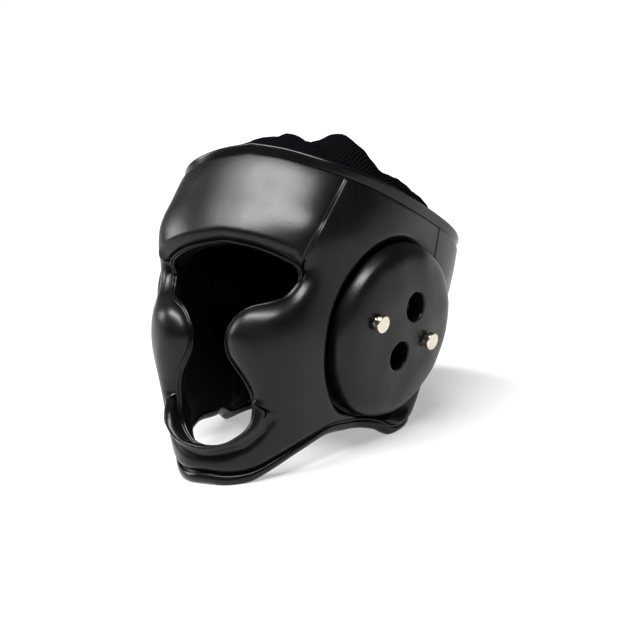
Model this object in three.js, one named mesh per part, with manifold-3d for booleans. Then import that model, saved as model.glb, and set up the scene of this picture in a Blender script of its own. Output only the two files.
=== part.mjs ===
// A padded full-face head guard for sparring, standing on its chin and its rear hem.
// Millimetres, +Z up. The wearer's left is +X and the face looks along -Y.
// Shapes are worked out in a head frame, whose Z is the wearer's upright, and the
// whole guard then leans back onto the floor.
import * as THREE from "three";
import { mergeVertices } from "three/addons/utils/BufferGeometryUtils.js";
import Module from "manifold-3d";

const wasm = await Module();
wasm.setup();

// Driving dimensions
const LEAN = THREE.MathUtils.degToRad(34); // head frame leaning back on the floor
const LIFT = 116.3; // floor to the middle of the head frame
const WALL = 21; // foam and leather of a pad
const CHIN_WALL = 18; // the same round the mouth
const JAW_WALL = 10; // the same along the lower edge of the jaw
const BACK_WALL = 17; // the same at the back of the head
const ROLL = 9; // half-round of a free padded edge
const SEAM_ROUND = 2.5; // soft corner along a seam
const HEM_ROUND = 3.5; // soft corner above the hem piping
const CLEAR = 0.4; // gap between pieces that touch
const SEAM_CLEAR = 0.9; // the same at the seams, in degrees round the head
const RIM_PIPE = { high: 9, wide: 9, inset: 5 }; // piping on the top rim
const HEM_PIPE = { high: 8, wide: 8.5, inset: 4.4 }; // piping on the lower edge
const FACE_PIPE = { high: 2.4, wide: 5, depth: 6 }; // piping round the face, and how far in from the outside

// Outside of the pads at heights up the head: half width at the ears and at the nape,
// reach to the front and to the rear, and how square the outline is (2 is an ellipse)
const SHELL = [
  { z: -195, side: 40, nape: 80, front: 78, rear: 86, square: 2.6 },
  { z: -150, side: 59, nape: 82, front: 101, rear: 95, square: 2.75 },
  { z: -110, side: 68, nape: 84.5, front: 122, rear: 103.5, square: 2.8 },
  { z: -70, side: 81, nape: 92, front: 134, rear: 110, square: 2.6 },
  { z: -30, side: 90, nape: 96, front: 134.5, rear: 113, square: 2.55 },
  { z: 10, side: 97.5, nape: 101, front: 131, rear: 113, square: 2.6 },
  { z: 65, side: 98.5, nape: 101, front: 122.5, rear: 112, square: 2.6 },
  { z: 110, side: 95, nape: 97, front: 112.5, rear: 109, square: 2.5 },
];
const NAPE_FROM = 90; // degrees round the head where the outline starts to widen
const NAPE_TO = 130; // and where it has its width at the nape

// Soft swellings of the pads on each side: where, how far they spread and how high
const SWELLS = [
  { angle: 27, z: -92, wide: 17, tall: 30, high: 5.5 },
  { angle: 32, z: -10, wide: 15, tall: 24, high: 6 },
];

// Edges of the pads: angle is measured round the head from the front, in degrees
const RIM = [
  { angle: 0, z: 50 },
  { angle: 12, z: 46.5 },
  { angle: 24, z: 42.5 },
  { angle: 36, z: 41 },
  { angle: 64, z: 43.5 },
  { angle: 95.5, z: 50 },
  { angle: 130, z: 55 },
  { angle: 180, z: 57 },
];
const HEM = [
  { angle: 0, z: -183.2 },
  { angle: 10.6, z: -183 },
  { angle: 18.5, z: -180 },
  { angle: 25.9, z: -174.5 },
  { angle: 35.5, z: -162.9 },
  { angle: 48.3, z: -146 },
  { angle: 62.6, z: -129.4 },
  { angle: 71.3, z: -123 },
  { angle: 85, z: -116.2 },
  { angle: 99, z: -109.2 },
  { angle: 109, z: -105.6 },
  { angle: 119.4, z: -104 },
  { angle: 135, z: -86.7 },
  { angle: 150, z: -73.4 },
  { angle: 165, z: -65 },
  { angle: 180, z: -61.9 },
];
const REAR_SEAM = [
  { z: -105.6, angle: 109 },
  { z: -60, angle: 105 },
  { z: -20, angle: 101 },
  { z: 20, angle: 97.5 },
  { z: 50, angle: 95.5 },
];
const BROW = [
  { across: 0, z: -21.5 },
  { across: 0.31, z: -24 },
  { across: 0.68, z: -28.5 },
  { across: 1, z: -34 },
];

// The face guard as bands from its face edge to its rear edge, from the rim down to
// the middle of the chin. The rear end lies on the rear seam at height seam, and
// below the seam's foot on the hem at angle hem.
const FACE_GUARD = [
  { angle: 36, z: 41, seam: 50, hem: 109 },
  { angle: 33.9, z: 20, seam: 27, hem: 109 },
  { angle: 31.6, z: -3, seam: 2, hem: 109 },
  { angle: 28.8, z: -31, seam: -25, hem: 109 },
  { angle: 28.3, z: -43, seam: -50, hem: 109 },
  { angle: 25.2, z: -56.5, seam: -72, hem: 109 },
  { angle: 20.5, z: -64, seam: -90, hem: 109 },
  { angle: 13.5, z: -72, seam: -105.6, hem: 109 },
  { angle: 9.5, z: -81.5, seam: -105.6, hem: 101 },
  { angle: 7.5, z: -93.6, seam: -105.6, hem: 92 },
  { angle: 9, z: -105, seam: -105.6, hem: 82 },
  { angle: 14.3, z: -116.5, seam: -105.6, hem: 72 },
  { angle: 18.2, z: -125.5, seam: -105.6, hem: 63 },
  { angle: 20.8, z: -134, seam: -105.6, hem: 56 },
  { angle: 30, z: -138.5, seam: -105.6, hem: 50 },
  { angle: 28.5, z: -148, seam: -105.6, hem: 42 },
  { angle: 24.8, z: -157.5, seam: -105.6, hem: 34 },
  { angle: 18.8, z: -166.5, seam: -105.6, hem: 25 },
  { angle: 9.5, z: -173.5, seam: -105.6, hem: 13 },
  { angle: 0, z: -174.4, seam: -105.6, hem: 0 },
];
const SEAM_FOOT = 7; // row where the rear end turns from the seam to the hem
// Rows where the face edge is sewn to the forehead, is free, and meets the chin roll
const FACE_EDGES = [
  { from: 0, to: 3.2, round: SEAM_ROUND },
  { from: 3.3, to: 13.2, round: ROLL },
  { from: 13.3, to: 19, round: HEM_ROUND },
];

// The chin roll from its end on the cheek to the middle of the chin
const CHIN_ROLL = [
  { mouth: 20.8, mouthZ: -136.8, angle: 28.6, z: -140.2 },
  { mouth: 20.4, mouthZ: -146, angle: 27.4, z: -148.4 },
  { mouth: 17.4, mouthZ: -155.5, angle: 23.6, z: -157.4 },
  { mouth: 9.6, mouthZ: -164.6, angle: 17, z: -166.4 },
  { mouth: 0, mouthZ: -166.4, angle: 0, z: -173.6 },
];
const CHIN_ROLL_PROUD = 3; // how far the roll stands out of the chin

// Ear cups: a thick round pad sunk in a flat seat, hollow over the ear
const EAR = {
  y: -7.4,
  z: -41.9,
  sunk: 10.9, // middle of the seat below the shell
  down: 14.7, // degrees that the cup looks down
  forward: 2.9, // degrees that the cup looks forward
  radius: 68.5,
  height: 25,
  hollow: 30,
  hollowDepth: 12,
  rampStart: 1.5, // flat seat beyond the cup
  ramp: 1.3, // rise of the seat's wall per millimetre outwards
  turn: 11, // degrees that the holes and studs are turned
};
// Holes and studs lie in pairs, whose middles are moved back and up from the middle of the cup
const EAR_HOLE = { radius: 11, reach: 19.5, back: -1.2, up: 3.7 };
const STUD = { reach: 35, back: -7, up: 2.6, shank: 3, head: 6.8, headHigh: 4, neck: 4.8, standOff: 1.8, sunk: 7 };

// Cloth crown: a slack cap inside the rim, with folds standing on it
const CROWN = { wall: 3, inset: 12.5, hem: 6, rise: 34, flat: 4 };
const CROWN_FOLDS = [
  { x: -24, y: -79, along: 42, across: 13, turn: -3, high: 10 },
  { x: 34, y: -54, along: 22, across: 11, turn: 8, high: 22 },
  { x: 64, y: -28, along: 30, across: 9, turn: 52, high: 6 },
  { x: 80, y: 8, along: 20, across: 13, turn: 78, high: 15 },
  { x: 8, y: 0, along: 34, across: 11, turn: 25, high: 12 },
  { x: -55, y: -18, along: 34, across: 11, turn: 62, high: 12 },
  { x: -28, y: 44, along: 34, across: 12, turn: -24, high: 12 },
  { x: 40, y: 52, along: 30, across: 12, turn: 18, high: 11 },
  { x: 2, y: -32, along: 40, across: 8, turn: 8, high: -12 },
  { x: -8, y: 22, along: 44, across: 8, turn: -4, high: -10 },
];

const leather = () => new THREE.MeshStandardMaterial({ color: 0x141416, roughness: 0.36 });
const piping = () => new THREE.MeshStandardMaterial({ color: 0x101012, roughness: 0.3 });
const cloth = () => new THREE.MeshStandardMaterial({ color: 0x0d0d10, roughness: 0.95 });
const nickel = () => new THREE.MeshStandardMaterial({ color: 0xdcd2b4, roughness: 0.22, metalness: 1 });

const { degToRad, lerp, clamp, smoothstep } = THREE.MathUtils;
const ONE = new THREE.Vector3(1, 1, 1);
const UP = new THREE.Vector3(0, -Math.sin(LEAN), Math.cos(LEAN)); // the room's upright

// Smooth value of every column of a table where its key column has a given value
function read(rows, key, value) {
  const last = rows.length - 1;
  const at = clamp(value, rows[0][key], rows[last][key]);
  const next = clamp(rows.findIndex((row) => row[key] >= at), 1, last);
  const [a, b] = [rows[next - 1], rows[next]];
  const span = b[key] - a[key];
  const t = (at - a[key]) / span;
  const slope = (n, column) => {
    const before = rows[Math.max(n - 1, 0)];
    const after = rows[Math.min(n + 1, last)];
    return ((after[column] - before[column]) / (after[key] - before[key])) * span;
  };
  const row = {};
  for (const column of Object.keys(a)) {
    row[column] =
      a[column] * (1 + 2 * t) * (1 - t) ** 2 +
      slope(next - 1, column) * t * (1 - t) ** 2 +
      b[column] * t * t * (3 - 2 * t) +
      slope(next, column) * t * t * (t - 1);
  }
  return row;
}

// A table with one more row for each of its rows on the wearer's right
function mirrored(rows, turned) {
  const left = rows.map((row, step) => ({ ...row, step }));
  const right = left.slice(0, -1).map((row) => {
    const copy = { ...row, step: 2 * (rows.length - 1) - row.step };
    for (const column of turned) copy[column] = -row[column];
    return copy;
  });
  return [...left, ...right.reverse()];
}

const around = (angle) => Math.abs(((angle + 540) % 360) - 180);
const rimHeight = (angle) => read(RIM, "angle", around(angle)).z;
const hemHeight = (angle) => read(HEM, "angle", around(angle)).z;
const frontSeam = (z) => 31.9 + 0.1 * z;
const rearSeam = (z) => read(REAR_SEAM, "z", z).angle;

// Point of the shell at an angle round the head and a height, moved out from it
function skin(angle, z, out = 0) {
  const row = read(SHELL, "z", z);
  const turn = degToRad(angle);
  const reach = Math.cos(turn) > 0 ? row.front : row.rear;
  const swell = SWELLS.reduce((sum, at) => {
    const u = (around(angle) - at.angle) / at.wide;
    const v = (z - at.z) / at.tall;
    return sum + at.high * Math.exp(-u * u - v * v);
  }, 0);
  const widening = smoothstep(around(angle), NAPE_FROM, NAPE_TO);
  const half = lerp(row.side, row.nape, widening);
  const sides = (Math.abs(Math.sin(turn)) / (half + swell + out)) ** row.square;
  const ends = (Math.abs(Math.cos(turn)) / (reach + swell + out)) ** row.square;
  const radius = (sides + ends) ** (-1 / row.square);
  return new THREE.Vector3(radius * Math.sin(turn), -radius * Math.cos(turn), z);
}

// A point that would sink into the floor is pressed flat on it
function press(point) {
  const height = LIFT + point.dot(UP);
  return height < 0 ? point.addScaledVector(UP, -height) : point;
}

// Closed solid through rings of points; ends are closed, or the last ring meets the first
function loft(rings, endless = false) {
  const size = rings[0].length;
  const corners = rings.flat().flatMap((p) => p.toArray());
  const faces = [];
  const steps = endless ? rings.length : rings.length - 1;
  for (let i = 0; i < steps; i++) {
    const next = (i + 1) % rings.length;
    for (let k = 0; k < size; k++) {
      const [a, b] = [i * size + k, i * size + ((k + 1) % size)];
      const [c, d] = [next * size + k, next * size + ((k + 1) % size)];
      faces.push(a, b, c, b, d, c);
    }
  }
  if (!endless) {
    const top = (rings.length - 1) * size;
    for (let k = 0; k < size / 2 - 1; k++) {
      const [a, b, c, d] = [k, k + 1, size - 1 - k, size - 2 - k];
      faces.push(a, c, b, b, c, d);
      faces.push(top + a, top + b, top + c, top + b, top + d, top + c);
    }
  }
  const geometry = new THREE.BufferGeometry();
  geometry.setAttribute("position", new THREE.Float32BufferAttribute(corners, 3));
  geometry.setIndex(faces);
  return outward(geometry);
}

// Turns the faces round where the solid is inside out
function outward(geometry) {
  const index = geometry.index.array;
  const p = geometry.attributes.position;
  const [a, b, c] = [new THREE.Vector3(), new THREE.Vector3(), new THREE.Vector3()];
  let volume = 0;
  for (let i = 0; i < index.length; i += 3) {
    a.fromBufferAttribute(p, index[i]);
    b.fromBufferAttribute(p, index[i + 1]);
    c.fromBufferAttribute(p, index[i + 2]);
    volume += a.dot(b.cross(c));
  }
  if (volume < 0) {
    for (let i = 0; i < index.length; i += 3) {
      [index[i + 1], index[i + 2]] = [index[i + 2], index[i + 1]];
    }
  }
  return geometry;
}

// How far a rounded edge has dropped at a distance from it
const roundDrop = (distance, round) =>
  distance < round ? round - Math.sqrt(round ** 2 - (round - distance) ** 2) : 0;

// One band across a pad: outside from the first edge to the last, then back inside.
// place gives angle and height along the band, wall and thin are its thickness at the
// two edges, first and last are the edge rounds, and drop takes the place of the first
// where the band meets its edge at a slant.
function padRing(place, { wall, thin = wall, first, last, flats, proud = 0, drop = null }) {
  const point = (t, out) => {
    const { angle, z } = place(t);
    return skin(angle, z, out);
  };
  let width = 0;
  const samples = 8;
  for (let i = 0; i < samples; i++) width += point(i / samples, 0).distanceTo(point((i + 1) / samples, 0));
  const corner = [0, 1, 2].map((i) => 1 - Math.cos((i * Math.PI) / 4));
  const stops = [
    ...corner.map((share) => first * share),
    ...Array.from({ length: flats - 1 }, (_, k) => lerp(first, width - last, (k + 1) / flats)),
    ...corner.reverse().map((share) => width - last * share),
  ];
  const profile = stops.map((s) => {
    const t = s / width;
    const near = drop ? drop(point(t, 0)) : roundDrop(s, first);
    return { t, bulge: proud * (1 - (2 * t - 1) ** 4), drop: Math.max(near, roundDrop(width - s, last)) };
  });
  const outer = profile.map((at) => point(at.t, at.bulge - at.drop));
  const inner = profile.map((at) => point(at.t, at.drop - lerp(wall, thin, smoothstep(at.t, 0, 1))));
  return [...outer, ...inner.reverse()];
}

// Oval ring of piping round a centre; wide and high are along the two directions
function pipeRing(centre, sideways, upright, { wide, high }, sides) {
  return Array.from({ length: sides }, (_, k) => {
    const a = (2 * Math.PI * (k + 0.5)) / sides;
    return centre
      .clone()
      .addScaledVector(sideways, (wide / 2) * Math.cos(a))
      .addScaledVector(upright, (high / 2) * Math.sin(a));
  });
}

// A turned body with no normals or texture places, so that its seam can be merged
function bareLathe(points, sides) {
  const geometry = new THREE.LatheGeometry(points, sides);
  geometry.deleteAttribute("normal");
  geometry.deleteAttribute("uv");
  return geometry;
}

// Solids in and out of the boolean library
function toSolid(geometry, matrix = new THREE.Matrix4()) {
  const bare = geometry.clone().applyMatrix4(matrix);
  bare.deleteAttribute("normal");
  bare.deleteAttribute("uv");
  const merged = mergeVertices(bare, 1e-3);
  return new wasm.Manifold(
    new wasm.Mesh({
      numProp: 3,
      vertProperties: merged.attributes.position.array,
      triVerts: new Uint32Array(merged.index.array),
    }),
  );
}
function toGeometry(solid) {
  const mesh = solid.getMesh();
  const geometry = new THREE.BufferGeometry();
  geometry.setAttribute("position", new THREE.BufferAttribute(mesh.vertProperties, 3));
  geometry.setIndex(new THREE.BufferAttribute(mesh.triVerts, 1));
  return geometry;
}

function addMesh(group, name, geometry, material) {
  const mesh = new THREE.Mesh(geometry, material);
  mesh.name = name;
  group.add(mesh);
  return mesh;
}

// Ear seat: its middle, the way that the cup faces, and its two directions
function earSeat(side) {
  const down = degToRad(EAR.down);
  const forward = degToRad(EAR.forward);
  const level = new THREE.Vector3(side * Math.cos(forward), -Math.sin(forward), 0);
  const face = level.multiplyScalar(Math.cos(down)).setZ(-Math.sin(down));
  const aside = Math.atan2(read(SHELL, "z", EAR.z).side, -EAR.y) * THREE.MathUtils.RAD2DEG;
  const centre = new THREE.Vector3(side * (skin(aside, EAR.z).x - EAR.sunk), EAR.y, EAR.z);
  const turn = degToRad(EAR.turn);
  const back = new THREE.Vector3(0, 1, 0);
  back.addScaledVector(face, -back.dot(face)).normalize();
  const up = new THREE.Vector3().crossVectors(face, back).multiplyScalar(side);
  const studs = back.clone().multiplyScalar(Math.cos(turn)).addScaledVector(up, Math.sin(turn));
  const holes = up.clone().multiplyScalar(Math.cos(turn)).addScaledVector(back, -Math.sin(turn));
  const upright = new THREE.Quaternion().setFromUnitVectors(new THREE.Vector3(0, 1, 0), face);
  return { centre, face, studs, holes, upright };
}

// Foot of a stud on the seat; way is 1 for the rear stud and -1 for the front one
function studFoot({ centre, studs, holes }, way) {
  return centre.clone().addScaledVector(studs, STUD.back + way * STUD.reach).addScaledVector(holes, STUD.up);
}

// The pads are cut down to a flat seat with a sloping wall under each ear cup, and are
// open over the ear and round the studs
function cutEars(geometry) {
  const floor = EAR.radius + EAR.rampStart;
  const seat = [
    [0, -CLEAR],
    [floor, -CLEAR],
    [floor + EAR.height / EAR.ramp, EAR.height],
    [0, EAR.height],
  ].map(([r, h]) => new THREE.Vector2(r, h));
  const socket = STUD.shank + CLEAR;
  let solid = toSolid(geometry);
  for (const side of [1, -1]) {
    const ear = earSeat(side);
    const cut = (at, form) => {
      solid = solid.subtract(toSolid(form, new THREE.Matrix4().compose(at, ear.upright, ONE)));
    };
    cut(ear.centre, outward(mergeVertices(bareLathe(seat, 28), 1e-3)));
    cut(ear.centre, new THREE.CylinderGeometry(EAR.hollow, EAR.hollow, 4 * WALL, 20));
    for (const way of [1, -1]) {
      cut(studFoot(ear, way), new THREE.CylinderGeometry(socket, socket, 2 * (STUD.sunk + CLEAR), 10));
    }
  }
  return toGeometry(solid);
}

// Forehead pad between the two front seams, with a rolled brow
function foreheadPad() {
  const rings = [];
  const steps = 16;
  for (let i = 0; i <= steps; i++) {
    const across = (2 * i) / steps - 1;
    const low = read(BROW, "across", Math.abs(across)).z;
    const place = (t) => {
      const high = rimHeight(across * frontSeam(RIM[3].z));
      const z = lerp(low, high, t);
      return { angle: across * (frontSeam(z) - SEAM_CLEAR), z };
    };
    const roll = lerp(ROLL, 4, smoothstep(Math.abs(across), 0.9, 1));
    rings.push(padRing(place, { wall: WALL, first: roll, last: SEAM_ROUND, flats: 6, proud: 1.5 }));
  }
  return loft(rings);
}

// Back pad between the two rear seams
function backPad() {
  const rings = [];
  const steps = 16;
  for (let i = 0; i <= steps; i++) {
    const share = i / steps;
    const place = (t) => {
      const low = hemHeight(lerp(REAR_SEAM[0].angle, 360 - REAR_SEAM[0].angle, share)) + CLEAR;
      const high = rimHeight(lerp(REAR_SEAM[4].angle, 360 - REAR_SEAM[4].angle, share));
      const z = lerp(low, high, t);
      const seam = rearSeam(z) + SEAM_CLEAR;
      return { angle: lerp(seam, 360 - seam, share), z };
    };
    const ring = padRing(place, { wall: BACK_WALL, first: HEM_ROUND, last: SEAM_ROUND, flats: 7 });
    rings.push(ring.map(press));
  }
  return cutEars(loft(rings));
}

// One band of the face guard: where its face edge and its rear edge lie
const GUARD_ROWS = mirrored(FACE_GUARD, ["angle"]);
const CHIN_STEP = FACE_GUARD.length - 1;
function guardBand(step) {
  const row = read(GUARD_ROWS, "step", step);
  const left = step <= CHIN_STEP ? 1 : -1;
  const half = CHIN_STEP - Math.abs(CHIN_STEP - step);
  const onSeam = half <= SEAM_FOOT;
  const endZ = onSeam ? row.seam : hemHeight(row.hem);
  const endAngle = left * (onSeam ? rearSeam(row.seam) : row.hem);
  const nearRim = Math.max(0, 1 - half);
  const top = FACE_GUARD[0];
  const place = (t) => {
    const dip = rimHeight(lerp(top.angle, rearSeam(top.seam), t)) - lerp(top.z, top.seam, t);
    return { angle: lerp(row.angle, endAngle, t), z: lerp(row.z, endZ, t) + nearRim * dip };
  };
  const wall = lerp(WALL, CHIN_WALL, smoothstep(half, 11, 16));
  const thin = lerp(WALL, JAW_WALL, smoothstep(half, SEAM_FOOT, SEAM_FOOT + 5));
  return { place, wall, thin, last: onSeam ? SEAM_ROUND : HEM_ROUND };
}

// Points along a face edge of the guard on the wearer's left
function faceEdge({ from, to }) {
  const count = Math.ceil(4 * (to - from));
  return Array.from({ length: count + 1 }, (_, i) => {
    const { angle, z } = guardBand(lerp(from, to, i / count)).place(0);
    return skin(angle, z);
  });
}

// Face guard: temples, cheeks and chin in one bent pad, with an opening over each ear
function faceGuard() {
  const edges = FACE_EDGES.map((edge) => ({ round: edge.round, points: faceEdge(edge) }));
  const line = new THREE.Line3();
  const nearest = new THREE.Vector3();
  const drop = (point) => {
    const onLeft = point.clone().setX(Math.abs(point.x));
    const drops = edges.flatMap(({ round, points }) =>
      points.slice(1).map((end, i) => {
        line.set(points[i], end).closestPointToPoint(onLeft, true, nearest);
        return roundDrop(nearest.distanceTo(onLeft), round);
      }),
    );
    return Math.max(...drops);
  };
  const rings = [];
  const steps = 44;
  for (let i = 0; i <= steps; i++) {
    const { place, wall, thin, last } = guardBand((2 * CHIN_STEP * i) / steps);
    const ring = padRing(place, { wall, thin, first: ROLL, last, flats: 8, drop });
    rings.push(ring.map(press));
  }
  return cutEars(loft(rings));
}

// Rolled pad round the lower half of the mouth
const ROLL_ROWS = mirrored(CHIN_ROLL, ["mouth", "angle"]);
function chinBand(step) {
  const row = read(ROLL_ROWS, "step", step);
  const place = (t) => ({ angle: lerp(row.mouth, row.angle, t), z: lerp(row.mouthZ, row.z, t) });
  return { place, wall: CHIN_WALL };
}
function chinRoll() {
  const rings = [];
  const perRow = 3;
  const steps = (ROLL_ROWS.length - 1) * perRow;
  for (let i = 0; i <= steps; i++) {
    const { place, wall } = chinBand(i / perRow);
    rings.push(padRing(place, { wall, first: 6, last: 2.5, flats: 2, proud: CHIN_ROLL_PROUD }));
  }
  return loft(rings);
}

// Piping round the top rim and along the hem, closed loops round the whole head
function rimPiping() {
  const steps = 52;
  const rings = Array.from({ length: steps }, (_, i) => {
    const angle = (360 * i) / steps;
    const z = rimHeight(angle) + RIM_PIPE.high / 2 + CLEAR;
    const centre = skin(angle, z, -RIM_PIPE.inset);
    const sideways = skin(angle, z, 1).sub(skin(angle, z, -1)).normalize();
    return pipeRing(centre, sideways, new THREE.Vector3(0, 0, 1), RIM_PIPE, 8);
  });
  return loft(rings, true);
}
function hemPiping(stand) {
  const steps = 56;
  const rings = Array.from({ length: steps }, (_, i) => {
    const angle = (360 * i) / steps;
    const z = hemHeight(angle) - HEM_PIPE.high / 2 - CLEAR;
    const centre = skin(angle, z, -HEM_PIPE.inset);
    const sideways = skin(angle, z, 1).sub(skin(angle, z, -1)).normalize();
    const ring = pipeRing(centre, sideways, new THREE.Vector3(0, 0, 1), HEM_PIPE, 8);
    return ring.map((point) => {
      const standing = point.applyMatrix4(stand);
      standing.z = Math.max(standing.z, 0);
      return standing;
    });
  });
  return loft(rings, true);
}

// Piping round the face opening, a flat strip on the outer shoulder of each free edge.
// round is the edge's half-round there; the strip lies square to its slope.
function facePiping() {
  const shoulder = (edge, ahead, outward, round) => {
    const rise = Math.max(round - FACE_PIPE.depth, 0) / round;
    const run = Math.sqrt(1 - rise ** 2);
    const normal = ahead.clone().multiplyScalar(run).addScaledVector(outward, rise);
    const point = edge.addScaledVector(ahead, -round * (1 - run));
    return { point: point.addScaledVector(normal, FACE_PIPE.high / 2 + 2 * CLEAR), normal };
  };
  const outwardAt = ({ x, y }) => new THREE.Vector3(x, y, 0).normalize();
  const onBand = (band, step, round) => {
    const at = (row, t) => {
      const { angle, z } = band(row).place(t);
      return skin(angle, z, -FACE_PIPE.depth);
    };
    const along = at(step + 0.1, 0).sub(at(step - 0.1, 0)).normalize();
    const ahead = at(step, 0).sub(at(step, 0.08));
    ahead.addScaledVector(along, -ahead.dot(along)).normalize();
    const outward = outwardAt(at(step, 0));
    outward.addScaledVector(ahead, -outward.dot(ahead)).addScaledVector(along, -outward.dot(along)).normalize();
    return shoulder(at(step, 0), ahead, outward, round);
  };
  const left = [];
  const browSteps = 5;
  const browEnd = 0.86;
  for (let i = 0; i < browSteps; i++) {
    const across = (browEnd * i) / (browSteps - 1);
    const angle = across * (frontSeam(BROW[3].z) - SEAM_CLEAR);
    const edge = skin(angle, read(BROW, "across", across).z, -FACE_PIPE.depth);
    left.push(shoulder(edge, new THREE.Vector3(0, 0, -1), outwardAt(edge), ROLL));
  }
  const stride = 0.6;
  const cheek = { from: 4.1, to: 12.8 };
  const chin = { from: 0.5, round: 6 };
  for (let step = cheek.from; step <= cheek.to; step += stride) left.push(onBand(guardBand, step, ROLL));
  for (let step = chin.from; step < CHIN_ROLL.length - 1; step += stride) left.push(onBand(chinBand, step, chin.round));
  const bottom = onBand(chinBand, CHIN_ROLL.length - 1, chin.round);
  const flip = (v) => new THREE.Vector3(-v.x, v.y, v.z);
  const right = left.slice(1).map(({ point, normal }) => ({ point: flip(point), normal: flip(normal) }));
  const stops = [...left, bottom, ...right.reverse()];
  const loop = (key) => new THREE.CatmullRomCurve3(stops.map((stop) => stop[key]), true, "centripetal");
  const [route, normals] = [loop("point"), loop("normal")];
  const steps = 60;
  const rings = Array.from({ length: steps }, (_, i) => {
    const t = i / steps;
    const tangent = route.getTangent(t);
    const upright = normals.getPoint(t).addScaledVector(tangent, -normals.getPoint(t).dot(tangent)).normalize();
    const sideways = new THREE.Vector3().crossVectors(upright, tangent);
    return pipeRing(route.getPoint(t), sideways, upright, FACE_PIPE, 6);
  });
  return loft(rings, true);
}

// Slack cloth cap: a low dome with folds, its hem tucked inside the rim piping
function crownCover() {
  const folds = (x, y) =>
    CROWN_FOLDS.reduce((sum, fold) => {
      const turn = degToRad(fold.turn);
      const u = ((x - fold.x) * Math.cos(turn) + (y - fold.y) * Math.sin(turn)) / fold.along;
      const v = ((y - fold.y) * Math.cos(turn) - (x - fold.x) * Math.sin(turn)) / fold.across;
      return sum + fold.high * Math.exp(-u * u - v * v);
    }, 0);
  const sides = 40;
  const shares = [1, 0.97, 0.88, 0.75, 0.61, 0.47, 0.32, 0.16];
  const ring = (share, inside) =>
    Array.from({ length: sides }, (_, k) => {
      const angle = (360 * k) / sides;
      const foot = rimHeight(angle) + CLEAR;
      const edge = skin(angle, foot, -CROWN.inset - (inside ? CROWN.wall : 0));
      const point = edge.multiplyScalar(share).setZ(foot);
      if (share === 1) return point;
      const swell = CROWN.hem + CROWN.rise * (1 - share ** CROWN.flat);
      const fade = smoothstep(1 - share, 0.02, 0.25);
      return point.setZ(foot + swell + fade * folds(point.x, point.y) - (inside ? CROWN.wall : 0));
    });
  const top = (inside) =>
    new THREE.Vector3(0, 0, rimHeight(0) + CLEAR + CROWN.hem + CROWN.rise + folds(0, 0) - (inside ? CROWN.wall : 0));
  const outside = shares.map((share) => ring(share, false));
  const within = shares.map((share) => ring(share, true));
  const rings = [...within.reverse(), ...outside];
  const geometry = openLoft(rings, top(true), top(false));
  return outward(geometry);
}

// Rings closed by a fan onto a point at each end
function openLoft(rings, first, last) {
  const size = rings[0].length;
  const corners = [...rings.flat(), first, last].flatMap((p) => p.toArray());
  const [a, b] = [rings.length * size, rings.length * size + 1];
  const end = (rings.length - 1) * size;
  const faces = [];
  for (let k = 0; k < size; k++) {
    const next = (k + 1) % size;
    faces.push(a, next, k, b, end + k, end + next);
    for (let i = 0; i < rings.length - 1; i++) {
      const [p, q] = [i * size, (i + 1) * size];
      faces.push(p + k, p + next, q + k, p + next, q + next, q + k);
    }
  }
  const geometry = new THREE.BufferGeometry();
  geometry.setAttribute("position", new THREE.Float32BufferAttribute(corners, 3));
  geometry.setIndex(faces);
  return geometry;
}

// Ear cup in its own frame: Y points away from the head
const CUP_TOP = [
  { r: 0, h: 1 },
  { r: 0.35, h: 0.985 },
  { r: 0.6, h: 0.94 },
  { r: 0.78, h: 0.86 },
  { r: 0.88, h: 0.765 },
  { r: 0.95, h: 0.625 },
  { r: 0.985, h: 0.46 },
  { r: 1, h: 0.25 },
].map(({ r, h }) => ({ r: r * EAR.radius, h: h * EAR.height }));
const cupHeight = (r) => read(CUP_TOP, "r", r).h;
function earCup(rearward) {
  const profile = [
    ...CUP_TOP,
    { r: 0.975 * EAR.radius, h: 0.09 * EAR.height },
    { r: 0.9 * EAR.radius, h: 0 },
    { r: EAR.hollow, h: 0 },
    { r: EAR.hollow, h: EAR.hollowDepth - 5 },
    { r: EAR.hollow - 5, h: EAR.hollowDepth - 1 },
    { r: 0, h: EAR.hollowDepth },
  ];
  const points = profile.map(({ r, h }) => new THREE.Vector2(r, h));
  let solid = toSolid(outward(mergeVertices(bareLathe(points, 28), 1e-3)));
  for (const way of [1, -1]) {
    const hole = new THREE.CylinderGeometry(EAR_HOLE.radius, EAR_HOLE.radius, 3 * EAR.height, 16);
    hole.translate(rearward * EAR_HOLE.back, 0, EAR_HOLE.up + way * EAR_HOLE.reach);
    solid = solid.subtract(toSolid(hole));
    const radius = STUD.shank + CLEAR;
    const bore = new THREE.CylinderGeometry(radius, radius, 3 * EAR.height, 10);
    bore.translate(rearward * STUD.back + way * STUD.reach, 0, STUD.up);
    solid = solid.subtract(toSolid(bore));
  }
  return toGeometry(solid);
}

// Stud: a round head on a neck, with a shank through the cup into its seat. The neck stands
// on the cup at its highest point under it.
function stud(reach) {
  const base = cupHeight(Math.hypot(reach, STUD.up) - STUD.neck) + CLEAR;
  const top = base + STUD.standOff + STUD.headHigh;
  const points = [
    [0, -STUD.sunk],
    [STUD.shank, -STUD.sunk],
    [STUD.shank, base],
    [STUD.neck, base],
    [STUD.neck, top - STUD.headHigh],
    [STUD.head, top - STUD.headHigh],
    [STUD.head, top - 0.8],
    [STUD.head - 0.8, top],
    [0, top],
  ].map(([r, h]) => new THREE.Vector2(r, h));
  return outward(mergeVertices(bareLathe(points, 10), 1e-3));
}

const root = new THREE.Group();
const head = new THREE.Group();
head.rotation.x = -LEAN;
head.position.z = LIFT;
head.updateMatrix();
root.add(head);

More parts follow.
